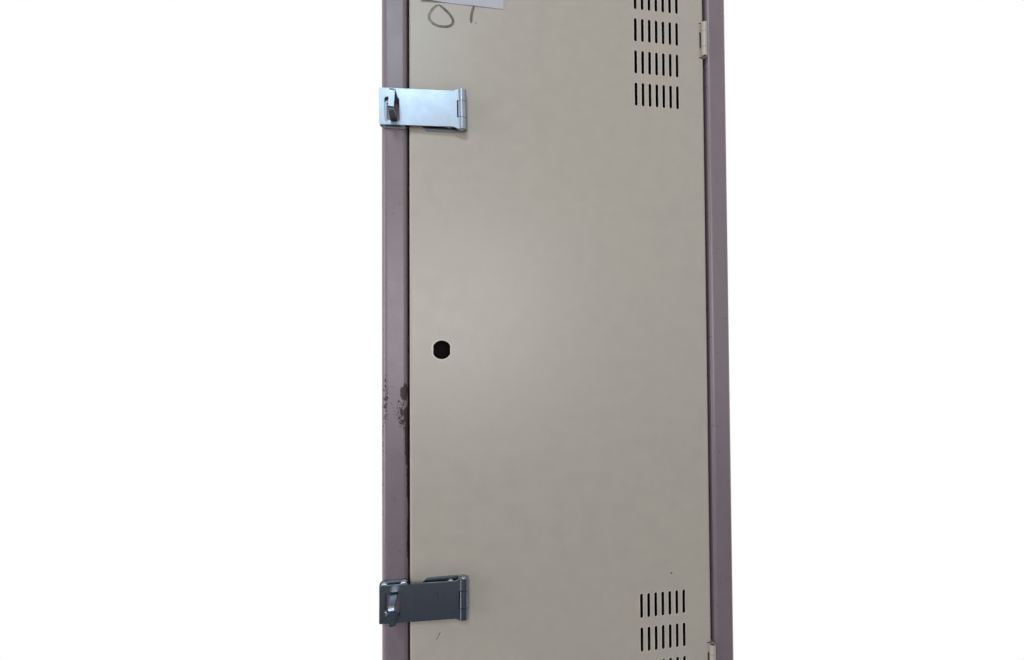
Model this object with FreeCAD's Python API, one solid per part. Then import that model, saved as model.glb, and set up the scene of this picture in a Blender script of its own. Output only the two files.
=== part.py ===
import FreeCAD, Part
import math
import os

from FreeCAD import Rotation, Vector

# Two-tier sheet-steel locker column for a row of coin operated lockers.
# Units are millimetres. While the pieces are built, X runs right from the column's left side,
# Y runs back from the face of the doors and Z runs up from the floor. Every piece is moved to
# the part's own frame as it is saved: origin on the floor, at the middle of the whole outline.

# ---------------------------------------------------------------- driving dimensions
WIDTH = 380.0
DEPTH = 460.0
HEIGHT = 1830.0
FRAME_T = 1.2            # sheet of the frame and the doors
BODY_T = 1.0             # sheet of the sides, back, top, floor and shelf

STILE_W = 25.4           # face of each upright
PLINTH_H = 75.0
MIDDLE_RAIL_H = 26.0
TOP_RAIL_H = 27.0
SIDE_RETURN = 32.0       # how far an upright turns back over the side sheet
OUTER_BEND = 6.0
INNER_BEND = 5.0
STOP_Y = 19.2            # face that the closed door comes to rest in front of
STOP_W = 15.6

DOOR_LEFT = 27.0
DOOR_RIGHT = 351.0
DOOR_H = 846.0
DOOR_DEPTH = 18.0
DOOR_EDGE_R = 2.6
DOOR_LIP = 12.0

OPENING_H = (HEIGHT - PLINTH_H - MIDDLE_RAIL_H - TOP_RAIL_H) / 2.0
LOWER_OPENING = PLINTH_H
UPPER_OPENING = PLINTH_H + OPENING_H + MIDDLE_RAIL_H
DOOR_CENTRES = {"lower": LOWER_OPENING + OPENING_H / 2.0, "upper": UPPER_OPENING + OPENING_H / 2.0}

VENT_X = 269.8           # middle of the first slot of a row
VENT_PITCH = 8.15
VENT_COLUMNS = 7
VENT_ROWS = 4
VENT_W = 3.5
VENT_H = 25.8
VENT_ROW_PITCH = 35.6
VENT_FIRST_Z = (-275.6, 277.2)   # middle of the row nearest to the door's centre, below and above

HOLE_X = 58.8            # double-D hole for the lock's cylinder
HOLE_R = 9.4
HOLE_HALF_FLATS = 8.4

HINGE_X = 350.3
HINGE_Y = -2.65
HINGE_R = 3.25
HINGE_BORE_R = 1.96
HINGE_PIN_R = 1.9
HINGE_LEAF_T = 1.2
HINGE_HALF = 18.8        # half the length of the whole knuckle
HINGE_MIDDLE = 8.7      # half the length of the middle knuckle
HINGE_KNUCKLE_GAP = 0.35
HINGE_Z = (-342.4, 344.2)
NOTCH_X = 345.6          # the door's edge is cut away from here, beside each hinge

HASP_AXIS_X = 79.2
HASP_AXIS_Y = -5.6
HASP_KNUCKLE_R = 4.9
HASP_BORE_R = 2.66
HASP_PIN_R = 2.6
HASP_KNUCKLE_HALF = 20.0
HASP_MIDDLE = 8.2
HASP_KNUCKLE_GAP = 0.45
HASP_BASE_T = 2.0
STRAP_T = 2.0
STRAP_HALF = 18.1
STRAP_LEFT = -1.8
STRAP_FRONT = 3.6        # from the pin's axis to the strap's front skin
STRAP_SLOPE = 2.5        # degrees by which the closed strap dips towards the staple
SLOT_LEFT = 3.4
SLOT_RIGHT = 17.8
SLOT_HALF = 12.4
HASP_MIDDLE_X = 41.0
# each hasp of a door: height of the strap and of the staple from the door's centre, tilt in degrees
HASPS = {"top": (241.0, 239.0, 1.0), "bottom": (-245.4, -242.4, -0.4)}
# each hasp's arch: height above the middle of its plate, and degrees by which it stands askew
ARCHES = {"top": (-1.6, 4.0), "bottom": (-3.4, -4.0)}
SLOT_MIDDLES = {"top": -3.1, "bottom": -0.6}   # height of each slot above the strap's middle

STAPLE_LEFT = -2.2
STAPLE_RIGHT = 26.0
STAPLE_HALF = 18.5
STAPLE_T = 1.6
STAPLE_CORNER_R = 5.0
STAPLE_TIP_Y = -30.0
STAPLE_BASE_X = 13.4     # middle of the arch at its foot; it leans left as it stands out
STAPLE_TIP_X = 11.2
STAPLE_BASE_W = 6.6
STAPLE_TIP_W = 5.2
STAPLE_WINDOW = (14.0, 17.6)
STAPLE_RIVETS = (9.15, 13.6)

RIVET_HEAD_R = 3.25
RIVET_HEAD_H = 1.9
RIVET_SHANK_R = 1.6
RIVET_HOLE_R = 1.7
RIVET_TAIL_R = 2.4

CASE = (44.0, 106.0, 46.0, 26.0)   # coin lock's case: left, right, half height, depth
CASE_T = 1.5
BOLT_TIP_X = 27.5
BOLT_Y = (8.0, 13.0)
BOLT_HALF = 14.0
STUD_R = 2.0

SIDE_HOLES = (60.0, 400.0, 250.0, 1600.0)     # bank-joining holes: two depths, two heights
SIDE_HOLE_R = 3.25
WALL_HOLES = (60.0, 320.0, 850.0, 1680.0)     # wall-fixing holes: two widths, two heights
WALL_HOLE_R = 4.25

ORIGIN = Vector((WIDTH + STAPLE_LEFT) / 2.0, (DEPTH + RIVET_HEAD_H + STAPLE_TIP_Y) / 2.0, 0.0)


# ---------------------------------------------------------------- drawing helpers
def unit(a, b):
    """Direction from a to b, as a pair."""
    length = math.hypot(b[0] - a[0], b[1] - a[1])
    return ((b[0] - a[0]) / length, (b[1] - a[1]) / length)


def corner_arc(before, corner, after, radius):
    """Start, middle and end of the arc that rounds a corner, the unit normals there to the
    left of the way round, and whether the way turns left."""
    d1 = unit(before, corner)
    d2 = unit(corner, after)
    cross = d1[0] * d2[1] - d1[1] * d2[0]
    turn = math.atan2(abs(cross), d1[0] * d2[0] + d1[1] * d2[1])
    reach = radius * math.tan(turn / 2.0)
    side = 1.0 if cross > 0 else -1.0
    start = (corner[0] - d1[0] * reach, corner[1] - d1[1] * reach)
    end = (corner[0] + d2[0] * reach, corner[1] + d2[1] * reach)
    n1 = (-d1[1], d1[0])
    n2 = (-d2[1], d2[0])
    centre = (start[0] + n1[0] * radius * side, start[1] + n1[1] * radius * side)
    out = unit(centre, corner)
    middle = (centre[0] + out[0] * radius, centre[1] + out[1] * radius)
    nm = (-out[0] * side, -out[1] * side)
    return [(start, n1), (middle, nm), (end, n2)]


def flat(u, v):
    """A pair as a point of the XY plane."""
    return Vector(u, v, 0.0)


def upright_plane(u, v):
    """A pair as a point of the XZ plane."""
    return Vector(u, 0.0, v)


def side_plane(u, v):
    """A pair as a point of the YZ plane."""
    return Vector(0.0, u, v)


def chain(points, arcs, place):
    """Edges through points; arcs holds the index of each arc's first point."""
    edges = []
    i = 0
    while i < len(points) - 1:
        a = place(*points[i])
        if i in arcs:
            edges.append(Part.Arc(a, place(*points[i + 1]), place(*points[i + 2])).toShape())
            i += 2
            continue
        b = place(*points[i + 1])
        if a.distanceToPoint(b) > 1e-6:
            edges.append(Part.LineSegment(a, b).toShape())
        i += 1
    return edges


def outline(corners, place):
    """Face inside a closed outline of (u, v, radius) corners."""
    points = []
    arcs = set()
    count = len(corners)
    for i, (u, v, radius) in enumerate(corners):
        if radius == 0:
            points.append((u, v))
            continue
        arcs.add(len(points))
        before = corners[i - 1]
        after = corners[(i + 1) % count]
        points += [p for p, _ in corner_arc(before, (u, v), after, radius)]
    points.append(points[0])
    return Part.Face(Part.Wire(chain(points, arcs, place)))


def rectangle(u0, u1, v0, v1, radius=0.0):
    """Corners of a rectangle with rounded corners."""
    return [(u0, v0, radius), (u1, v0, radius), (u1, v1, radius), (u0, v1, radius)]


def slab(corners, y0, y1):
    """Plate parallel to the doors, between two depths."""
    face = outline(corners, upright_plane)
    face.translate(Vector(0.0, y0, 0.0))
    return face.extrude(Vector(0.0, y1 - y0, 0.0))


def folded_sheet(path, radii, thickness, place, along):
    """Sheet whose first skin follows path, with the metal to the left of the way along it."""
    normal = unit(path[0], path[1])
    stations = [(path[0], (-normal[1], normal[0]))]
    arcs = set()
    for before, corner, after, radius in zip(path, path[1:], path[2:], radii):
        arcs.add(len(stations))
        stations += corner_arc(before, corner, after, radius)
    normal = unit(path[-2], path[-1])
    stations.append((path[-1], (-normal[1], normal[0])))
    skin = [p for p, _ in stations]
    back = [(p[0] + n[0] * thickness, p[1] + n[1] * thickness) for p, n in stations]
    edges = chain(skin, arcs, place) + chain(back, arcs, place)
    edges.append(Part.LineSegment(place(*skin[0]), place(*back[0])).toShape())
    edges.append(Part.LineSegment(place(*skin[-1]), place(*back[-1])).toShape())
    wire = Part.Wire(Part.__sortEdges__(edges))
    return Part.Face(wire).extrude(along)


def box(x0, x1, y0, y1, z0, z1):
    return Part.makeBox(x1 - x0, y1 - y0, z1 - z0, Vector(x0, y0, z0))


def post(x, y, z0, z1, radius):
    """Upright cylinder."""
    return Part.makeCylinder(radius, z1 - z0, Vector(x, y, z0))


def peg(x, z, y0, y1, radius):
    """Cylinder that lies along Y."""
    return Part.makeCylinder(radius, y1 - y0, Vector(x, y0, z), Vector(0, 1, 0))


def cross_hole(y, z, x0, x1, radius):
    """Cylinder that lies along X."""
    return Part.makeCylinder(radius, x1 - x0, Vector(x0, y, z), Vector(1, 0, 0))


def join(shapes):
    """One solid out of pieces that run into each other."""
    return shapes[0].fuse(shapes[1:]).removeSplitter()


def cut(shape, tools):
    return shape.cut(Part.makeCompound(tools)) if tools else shape


def group(shapes):
    return Part.makeCompound(shapes)


def soft_box(x0, x1, y0, y1, z0, z1, radius):
    """Box with every edge rounded but those of its back."""
    solid = box(x0, x1, y0, y1, z0, z1)
    edges = [e for e in solid.Edges if min(v.Point.y for v in e.Vertexes) < y1 - 1e-6]
    return solid.makeFillet(radius, edges)


def save(name, shape):
    """Moves a piece to the part's frame and writes its STEP file."""
    placed = shape.copy()
    placed.translate(ORIGIN.negative())
    placed.exportStep("parts/%s.step" % name)


# ---------------------------------------------------------------- frame
def hasp_places():
    """Every hasp of the column: door, row, strap height, staple height and tilt."""
    for door, centre in DOOR_CENTRES.items():
        for row, (strap_z, staple_z, tilt) in HASPS.items():
            yield door, row, centre + strap_z, centre + staple_z, tilt


def staple_rivet_points(staple_z):
    """Places of the four rivets of one staple."""
    middle = (STAPLE_LEFT + STAPLE_RIGHT) / 2.0
    half_x, half_z = STAPLE_RIVETS
    return [(middle + sx * half_x, staple_z + sz * half_z) for sx in (-1, 1) for sz in (-1, 1)]


def left_upright():
    """Folded channel with the door stop, staple rivet holes and a slot for each lock bolt."""
    path = [(0.0, SIDE_RETURN), (0.0, 0.0), (STILE_W, 0.0), (STILE_W, STOP_Y)]
    path.append((STILE_W + STOP_W, STOP_Y))
    radii = [OUTER_BEND, INNER_BEND, 1.5]
    sheet = folded_sheet(path, radii, FRAME_T, flat, Vector(0, 0, HEIGHT))
    tools = []
    for _, _, _, staple_z, _ in hasp_places():
        tools += [peg(x, z, -1.0, 6.0, RIVET_HOLE_R) for x, z in staple_rivet_points(staple_z)]
    for centre in DOOR_CENTRES.values():
        tools.append(box(STILE_W - 4, STILE_W + 1, BOLT_Y[0] - 0.7, BOLT_Y[1] + 0.7,
                         centre - BOLT_HALF - 1, centre + BOLT_HALF + 1))
    return cut(sheet, tools)


def right_upright():
    """Folded channel that carries the hinges."""
    path = [(STILE_W + STOP_W, STOP_Y), (STILE_W, STOP_Y), (STILE_W, 0.0), (0.0, 0.0)]
    path.append((0.0, SIDE_RETURN))
    mirrored = [(WIDTH - x, y) for x, y in path]
    radii = [1.5, INNER_BEND, OUTER_BEND]
    return folded_sheet(mirrored, radii, FRAME_T, flat, Vector(0, 0, HEIGHT))


def rail(path, radii):
    """Cross member between the uprights, cut back behind to fit between their stop flanges."""
    inside = WIDTH - 2 * STILE_W
    sheet = folded_sheet(path, radii, FRAME_T, side_plane, Vector(inside, 0, 0))
    sheet.translate(Vector(STILE_W, 0, 0))
    reach = STILE_W + STOP_W + 0.1
    y0 = STOP_Y - 1.7
    ends = [box(x, x + reach, y0, SIDE_RETURN, -1, HEIGHT + 1) for x in (0.0, WIDTH - reach)]
    return cut(sheet, ends)


def top_rail():
    z0 = HEIGHT - TOP_RAIL_H
    path = [(22.0, HEIGHT), (0.0, HEIGHT), (0.0, z0), (STOP_Y, z0), (STOP_Y, z0 - DOOR_LIP)]
    return rail(path, [2.4, 2.4, 1.5])


def middle_rail():
    z0 = LOWER_OPENING + OPENING_H
    z1 = z0 + MIDDLE_RAIL_H
    path = [(STOP_Y, z1 + DOOR_LIP), (STOP_Y, z1), (0.0, z1), (0.0, z0), (STOP_Y, z0)]
    path.append((STOP_Y, z0 - DOOR_LIP))
    return rail(path, [1.5, 2.4, 2.4, 1.5])


def bottom_rail():
    """Plinth panel that reaches the floor, with a foot flange turned back under the column."""
    path = [(STOP_Y, PLINTH_H + DOOR_LIP), (STOP_Y, PLINTH_H), (0.0, PLINTH_H), (0.0, 0.0)]
    path.append((25.0, 0.0))
    return rail(path, [1.5, 2.4, 2.4])


def upright_caps():
    """Small plates that close the tops of the two uprights."""
    t = FRAME_T
    top = HEIGHT - 0.1
    depth = 22.0
    step = (t + BODY_T + 0.1, 11.9)    # keeps clear of the side sheet
    corners = [(t, t, OUTER_BEND - t), (STILE_W - t, t, INNER_BEND - t), (STILE_W - t, depth, 0),
               (step[0], depth, 0), (step[0], step[1], 0), (t, step[1], 0)]
    left = outline(corners, flat).extrude(Vector(0, 0, t))
    left.translate(Vector(0, 0, top - t))
    right = left.mirror(Vector(WIDTH / 2.0, 0, 0), Vector(1, 0, 0))
    return group([left, right])


# ---------------------------------------------------------------- body sheets
def side_panel(sign):
    """Side sheet with its rear flange; sign is -1 for the left side and 1 for the right."""
    x = FRAME_T
    back = DEPTH - BODY_T
    path = [(x + 18.0, back), (x, back), (x, 12.0)]
    if sign < 0:
        sheet = folded_sheet(path, [2.4], BODY_T, flat, Vector(0, 0, HEIGHT))
    else:
        mirrored = [(WIDTH - u, v) for u, v in reversed(path)]
        sheet = folded_sheet(mirrored, [2.4], BODY_T, flat, Vector(0, 0, HEIGHT))
    y0, y1, z0, z1 = SIDE_HOLES
    tools = [cross_hole(y, z, -5, WIDTH + 5, SIDE_HOLE_R) for y in (y0, y1) for z in (z0, z1)]
    tools += back_rivet_holes()
    return cut(sheet, tools)


def back_rivet_points():
    """Rivets that hold the back sheet to the flanges of the sides."""
    rows = 7
    first = 100.0
    pitch = (HEIGHT - 2 * first) / (rows - 1)
    return [(x, first + i * pitch) for x in (12.0, WIDTH - 12.0) for i in range(rows)]


def back_rivet_holes():
    return [peg(x, z, DEPTH - 4, DEPTH + 1, RIVET_HOLE_R) for x, z in back_rivet_points()]


def back_panel():
    sheet = slab(rectangle(FRAME_T, WIDTH - FRAME_T, 0, HEIGHT, 0), DEPTH - BODY_T, DEPTH)
    x0, x1, z0, z1 = WALL_HOLES
    tools = [peg(x, z, DEPTH - 4, DEPTH + 1, WALL_HOLE_R) for x in (x0, x1) for z in (z0, z1)]
    return cut(sheet, tools + back_rivet_holes())


def tray(y0, z_top, flange):
    """Flat sheet between the sides with a flange turned down all round."""
    inner = FRAME_T + BODY_T
    x0 = inner + 0.1
    x1 = WIDTH - x0
    y1 = DEPTH - 2 * BODY_T - 0.1
    solid = box(x0, x1, y0, y1, z_top - flange, z_top)
    edges = [e for e in solid.Edges if max(v.Point.z for v in e.Vertexes) > z_top - 1e-6]
    outer = solid.makeFillet(1.8, edges)
    hollow = box(x0 + BODY_T, x1 - BODY_T, y0 + BODY_T, y1 - BODY_T, z_top - flange - 1,
                 z_top - BODY_T)
    return outer.cut(hollow)


def coat_hook(x, sign, y, z):
    """Steel wall hook: a plate on the side sheet and a round arm that turns up."""
    half_w = 10.0
    half_h = 22.0
    plate_t = 1.5
    arm_r = 2.6
    reach = 22.0
    bend = 8.0
    rise = 12.0
    plate = box(min(x, x + sign * plate_t), max(x, x + sign * plate_t), y - half_w, y + half_w,
                z - half_h, z + half_h)
    long_edges = [e for e in plate.Edges if abs(e.tangentAt(e.FirstParameter).x) > 0.9]
    plate = plate.makeFillet(5.0, long_edges)
    root = Vector(x + sign * plate_t * 0.5, y, z)
    knee = Vector(x + sign * (reach - bend), y, z)
    rest = Vector(x + sign * reach, y, z + bend)
    mid = Vector(x + sign * (reach - bend + bend * math.sin(math.pi / 4)), y,
                 z + bend * (1 - math.cos(math.pi / 4)))
    tip = Vector(x + sign * reach, y, z + bend + rise)
    edges = [Part.LineSegment(root, knee).toShape(), Part.Arc(knee, mid, rest).toShape()]
    edges.append(Part.LineSegment(rest, tip).toShape())
    ring = Part.Wire(Part.makeCircle(arm_r, root, Vector(sign, 0, 0)))
    arm = Part.Wire(edges).makePipeShell([ring], True, True)
    ball = Part.makeSphere(arm_r + 1.0, tip)
    screws = [cross_hole(y, z + s * 15.0, x if sign > 0 else x - plate_t - 1.2,
                         x + plate_t + 1.2 if sign > 0 else x, 3.0) for s in (-1, 1)]
    return join([plate, arm, ball] + screws)


def coat_hooks(door):
    """Two hooks in each compartment, one on each side, near its top."""
    z = DOOR_CENTRES[door] + 300.0
    left = FRAME_T + BODY_T
    return group([coat_hook(left, 1, 240.0, z), coat_hook(WIDTH - left, -1, 240.0, z)])


def strike_plate(door):
    """Doubler behind the slot that the lock bolt shoots into."""
    centre = DOOR_CENTRES[door]
    x1 = STILE_W - FRAME_T
    plate = box(x1 - 2.0, x1, INNER_BEND + 0.4, 17.2, centre - 26, centre + 26)
    slot = box(x1 - 3, x1 + 1, BOLT_Y[0] - 0.9, BOLT_Y[1] + 0.9,
               centre - BOLT_HALF - 1.2, centre + BOLT_HALF + 1.2)
    return plate.cut(slot)


def stop_buffers():
    """Rubber pads on the door stop, two to a door."""
    pads = []
    for centre in DOOR_CENTRES.values():
        for dz in (-330.0, 330.0):
            x = STILE_W + 8.5
            pad = peg(x, centre + dz, DOOR_DEPTH + 0.2, STOP_Y, 4.5)
            pads.append(pad)
    return group(pads)


# ---------------------------------------------------------------- rivets
def pop_rivet(x, z, y_head, y_tail, tail=True):
    """Blind rivet along Y: a domed head with its mandrel hole, a shank and a tail."""
    head = peg(x, z, y_head - RIVET_HEAD_H, y_head, RIVET_HEAD_R)
    rim = [e for e in head.Edges if abs(e.CenterOfMass.y - (y_head - RIVET_HEAD_H)) < 1e-6]
    head = head.makeFillet(1.5, rim)
    pieces = [head, peg(x, z, y_head - 0.5, y_tail + 2.0, RIVET_SHANK_R)]
    if tail:
        pieces.append(peg(x, z, y_tail, y_tail + 2.6, RIVET_TAIL_R))
    return join(pieces).cut(peg(x, z, y_head - 3, y_head - 0.6, 0.95))


def staple_rivets():
    """Four rivets to each staple; those on the left go in beside the bend, so they have no
    tail, and the tails on the right spread against the inside of the other bend."""
    solids = []
    upright = left_upright()
    for _, _, _, staple_z, _ in hasp_places():
        for x, z in staple_rivet_points(staple_z):
            rivet = pop_rivet(x, z, -STAPLE_T, FRAME_T, tail=x > STILE_W / 2.0)
            solids.append(rivet.cut(upright))
    return group(solids)


def back_rivets():
    """Rivets of the back sheet, with their heads outside."""
    solids = []
    for x, z in back_rivet_points():
        rivet = pop_rivet(x, z, 0.0, 2 * BODY_T)
        turned = rivet.rotate(Vector(x, 0, z), Vector(0, 0, 1), 180)
        turned.translate(Vector(0, DEPTH, 0))
        solids.append(turned)
    return group(solids)


# ---------------------------------------------------------------- doors
def vent_slots(centre):
    """Tools for the two blocks of upright slots."""
    tools = []
    for first in VENT_FIRST_Z:
        for row in range(VENT_ROWS):
            z = centre + first + math.copysign(row * VENT_ROW_PITCH, first)
            for column in range(VENT_COLUMNS):
                x = VENT_X + column * VENT_PITCH
                half = VENT_W / 2.0
                corners = rectangle(x - half, x + half, z - VENT_H / 2, z + VENT_H / 2, half)
                tools.append(slab(corners, -1.0, FRAME_T + 1.0))
    return tools


def double_d(centre, y0, y1, grow=0.0):
    """Tool for the lock cylinder's hole: a circle with two upright flats."""
    flats = HOLE_HALF_FLATS + grow
    disc = peg(HOLE_X, centre, y0, y1, HOLE_R + grow)
    return disc.common(box(HOLE_X - flats, HOLE_X + flats, y0, y1, centre - 20, centre + 20))


def hasp_base_rivets():
    """Places of the three rivets of a hasp's base plate, from the hasp's own height."""
    return [(66.6, 14.4), (66.6, -14.4), (48.0, 0.0)]


def tilted(shape, z, tilt):
    """Sets a hasp piece, built at height 0, at its height and its slight tilt."""
    placed = shape.copy()
    placed.rotate(Vector(HASP_MIDDLE_X, 0, 0), Vector(0, 1, 0), -tilt)
    placed.translate(Vector(0, 0, z))
    return placed


def door_panel(door):
    """Pan with turned edges and lips, vent slots, lock hole and notches beside the hinges."""
    centre = DOOR_CENTRES[door]
    z0 = centre - DOOR_H / 2.0
    z1 = centre + DOOR_H / 2.0
    t = FRAME_T
    outer = soft_box(DOOR_LEFT, DOOR_RIGHT, 0, DOOR_DEPTH, z0, z1, DOOR_EDGE_R)
    inner = soft_box(DOOR_LEFT + t, DOOR_RIGHT - t, t, DOOR_DEPTH - t, z0 + t, z1 - t,
                     DOOR_EDGE_R - t)
    window = box(DOOR_LEFT + DOOR_LIP, DOOR_RIGHT - DOOR_LIP, DOOR_DEPTH - 2 * t, DOOR_DEPTH + 1,
                 z0 + DOOR_LIP, z1 - DOOR_LIP)
    tools = [inner, window, double_d(centre, -1, 4)]
    tools += vent_slots(centre)
    for dz in HINGE_Z:
        z = centre + dz
        tools.append(box(NOTCH_X, DOOR_RIGHT + 1, -1, 5.0, z - HINGE_HALF - 1.3,
                         z + HINGE_HALF + 1.3))
    for strap_z, _, tilt in HASPS.values():
        holes = [peg(x, z, -1, 4, RIVET_HOLE_R) for x, z in hasp_base_rivets()]
        tools += [tilted(hole, centre + strap_z, tilt) for hole in holes]
    tools.append(box(DOOR_LEFT - 1, DOOR_LEFT + 3, BOLT_Y[0] - 0.4, BOLT_Y[1] + 0.4,
                     centre - BOLT_HALF - 0.5, centre + BOLT_HALF + 0.5))
    return cut(outer, tools)


def door_stiffener(door):
    """Top-hat section welded inside the door face."""
    centre = DOOR_CENTRES[door]
    y0 = FRAME_T
    depth = 13.0
    path = [(160.0, y0), (174.0, y0), (180.0, y0 + depth), (208.0, y0 + depth), (214.0, y0)]
    path.append((228.0, y0))
    sheet = folded_sheet(path, [1.5, 2.5, 2.5, 1.5], BODY_T, flat, Vector(0, 0, 780.0))
    sheet.translate(Vector(0, 0, centre - 390.0))
    return sheet


def knuckle(z0, z1):
    return post(HINGE_X, HINGE_Y, z0, z1, HINGE_R)


def hinge_door_leaf(z):
    """Outer knuckles, with a leaf that dips through the notch and lies behind the door's face."""
    t = HINGE_LEAF_T
    flush = (-0.2, t - 0.2)
    pieces = [box(322.0, NOTCH_X + 1.4, FRAME_T, FRAME_T + t, z - HINGE_HALF, z + HINGE_HALF)]
    inner = HINGE_MIDDLE + HINGE_KNUCKLE_GAP
    for low, high in ((-HINGE_HALF, -inner), (inner, HINGE_HALF)):
        pieces.append(knuckle(z + low, z + high))
        pieces.append(box(NOTCH_X + 0.2, HINGE_X, flush[0], flush[1], z + low, z + high))
        pieces.append(box(NOTCH_X + 0.2, NOTCH_X + 1.4, flush[0], FRAME_T + t, z + low, z + high))
    bore = post(HINGE_X, HINGE_Y, z - HINGE_HALF - 1, z + HINGE_HALF + 1, HINGE_BORE_R)
    return join(pieces).cut(bore)


def hinge_frame_leaf(z):
    """Middle knuckle, with a leaf that runs back in the gap and is welded to the upright."""
    t = HINGE_LEAF_T
    x1 = WIDTH - STILE_W - 1.1
    x0 = x1 - t
    back = 16.0
    clear = HINGE_Y + HINGE_R + 0.2
    pieces = [box(x0, x1, clear, back, z - HINGE_HALF, z + HINGE_HALF)]
    pieces.append(knuckle(z - HINGE_MIDDLE, z + HINGE_MIDDLE))
    pieces.append(box(x0, x1, HINGE_Y, clear + 0.5, z - HINGE_MIDDLE, z + HINGE_MIDDLE))
    bore = post(HINGE_X, HINGE_Y, z - HINGE_HALF - 1, z + HINGE_HALF + 1, HINGE_BORE_R)
    return join(pieces).cut(bore)


def hinge_pins(door):
    centre = DOOR_CENTRES[door]
    half = HINGE_HALF - 0.4
    return group([post(HINGE_X, HINGE_Y, centre + dz - half, centre + dz + half, HINGE_PIN_R)
                  for dz in HINGE_Z])


# ---------------------------------------------------------------- hasps
def hasp_post(z0, z1, radius):
    return post(HASP_AXIS_X, HASP_AXIS_Y, z0, z1, radius)


def hasp_base():
    """Plate riveted to the door, with the middle knuckle on a tongue."""
    left = 39.5
    high = 20.5
    corner = 4.0
    x_ring = HASP_AXIS_X - HASP_KNUCKLE_R - 0.5
    corners = [(left + corner, -high, 0), (x_ring, -high, 0), (x_ring, -HASP_MIDDLE, 0),
               (HASP_AXIS_X, -HASP_MIDDLE, 0), (HASP_AXIS_X, HASP_MIDDLE, 0),
               (x_ring, HASP_MIDDLE, 0), (x_ring, high, 0), (left + corner, high, 0),
               (left, high - corner, 0), (left, corner - high, 0)]
    plate = slab(corners, -HASP_BASE_T, 0.0)
    ring = hasp_post(-HASP_MIDDLE, HASP_MIDDLE, HASP_KNUCKLE_R)
    holes = [hasp_post(-30, 30, HASP_BORE_R)]
    holes += [peg(x, z, -5, 2, RIVET_HOLE_R) for x, z in hasp_base_rivets()]
    return cut(join([plate, ring]), holes)


def hasp_strap(slot_z):
    """Slotted strap with the two outer knuckles, dipped to lie over the staple's rivets."""
    x_window = HASP_AXIS_X - HASP_KNUCKLE_R
    inner = HASP_MIDDLE + HASP_KNUCKLE_GAP
    flare_x = HASP_AXIS_X - HASP_KNUCKLE_R - 3.0
    high = STRAP_HALF
    end = HASP_KNUCKLE_HALF
    corners = [(STRAP_LEFT, -high, 1.2), (flare_x, -high, 0), (x_window + 0.8, -end, 0),
               (HASP_AXIS_X, -end, 0), (HASP_AXIS_X, -inner, 0), (x_window, -inner, 0),
               (x_window, inner, 0), (HASP_AXIS_X, inner, 0), (HASP_AXIS_X, end, 0),
               (x_window + 0.8, end, 0), (flare_x, high, 0), (STRAP_LEFT, high, 1.2)]
    front = HASP_AXIS_Y - STRAP_FRONT
    plate = slab(corners, front, front + STRAP_T)
    slot = slab(rectangle(SLOT_LEFT, SLOT_RIGHT, -SLOT_HALF, SLOT_HALF, 2.5), front - 1, front + 4)
    slot.translate(Vector(0, 0, slot_z))
    rings = [hasp_post(-end, -inner, HASP_KNUCKLE_R), hasp_post(inner, end, HASP_KNUCKLE_R)]
    strap = cut(join([plate.cut(slot)] + rings), [hasp_post(-30, 30, HASP_BORE_R)])
    pivot = Vector(HASP_AXIS_X, HASP_AXIS_Y, 0)
    return strap.rotate(pivot, Vector(0, 0, 1), -STRAP_SLOPE)


def hasp_pin():
    """Pin with slightly domed ends."""
    pin = hasp_post(-HASP_KNUCKLE_HALF - 0.5, HASP_KNUCKLE_HALF + 0.5, HASP_PIN_R)
    return pin.makeFillet(0.5, [e for e in pin.Edges if e.Closed])


def staple_arch(turn):
    """Flat strip bent into a leaning, tapered arch, turned askew about its foot."""
    strip_t = 2.0
    foot = 11.2
    shoulder = 10.0
    bend = 3.6
    path = [(-0.6, -foot), (STAPLE_TIP_Y, -shoulder), (STAPLE_TIP_Y, shoulder), (-0.6, foot)]
    broad = folded_sheet(path, [bend, bend], -strip_t, side_plane, Vector(30.0, 0, 0))
    base = STAPLE_BASE_W / 2.0
    tip = STAPLE_TIP_W / 2.0
    taper = [(STAPLE_BASE_X - base, 1.0, 0), (STAPLE_TIP_X - tip, STAPLE_TIP_Y - 1, 0),
             (STAPLE_TIP_X + tip, STAPLE_TIP_Y - 1, 0), (STAPLE_BASE_X + base, 1.0, 0)]
    wedge = outline(taper, flat)
    wedge.translate(Vector(0, 0, -20))
    arch = broad.common(wedge.extrude(Vector(0, 0, 40)))
    return arch.rotate(Vector(STAPLE_BASE_X, 0, 0), Vector(0, 1, 0), turn)


def staple(arch_z, turn):
    """Plate with a window, and the arch over it; the plate's middle is at height 0."""
    middle = (STAPLE_LEFT + STAPLE_RIGHT) / 2.0
    plate = slab(rectangle(STAPLE_LEFT, STAPLE_RIGHT, -STAPLE_HALF, STAPLE_HALF, STAPLE_CORNER_R),
                 -STAPLE_T, 0.0)
    half_w = STAPLE_WINDOW[0] / 2.0
    half_h = STAPLE_WINDOW[1] / 2.0
    window = slab(rectangle(middle - half_w, middle + half_w, -half_h, half_h, 1.5), -4, 1)
    window.translate(Vector(0, 0, arch_z))
    tick = box(STAPLE_LEFT - 1, STAPLE_LEFT + 3.6, -4, 1, 0.6, 1.2)
    holes = [peg(x, z, -5, 2, RIVET_HOLE_R) for x, z in staple_rivet_points(0.0)]
    return join([cut(plate, [window, tick] + holes), raised(staple_arch(turn), arch_z)])


# ---------------------------------------------------------------- coin lock
def stud_points():
    """Corners of the coin lock's case where its studs pass."""
    left, right, half, _ = CASE
    inset = 6.0
    return [(x, z) for x in (left + inset, right - inset) for z in (inset - half, half - inset)]


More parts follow.
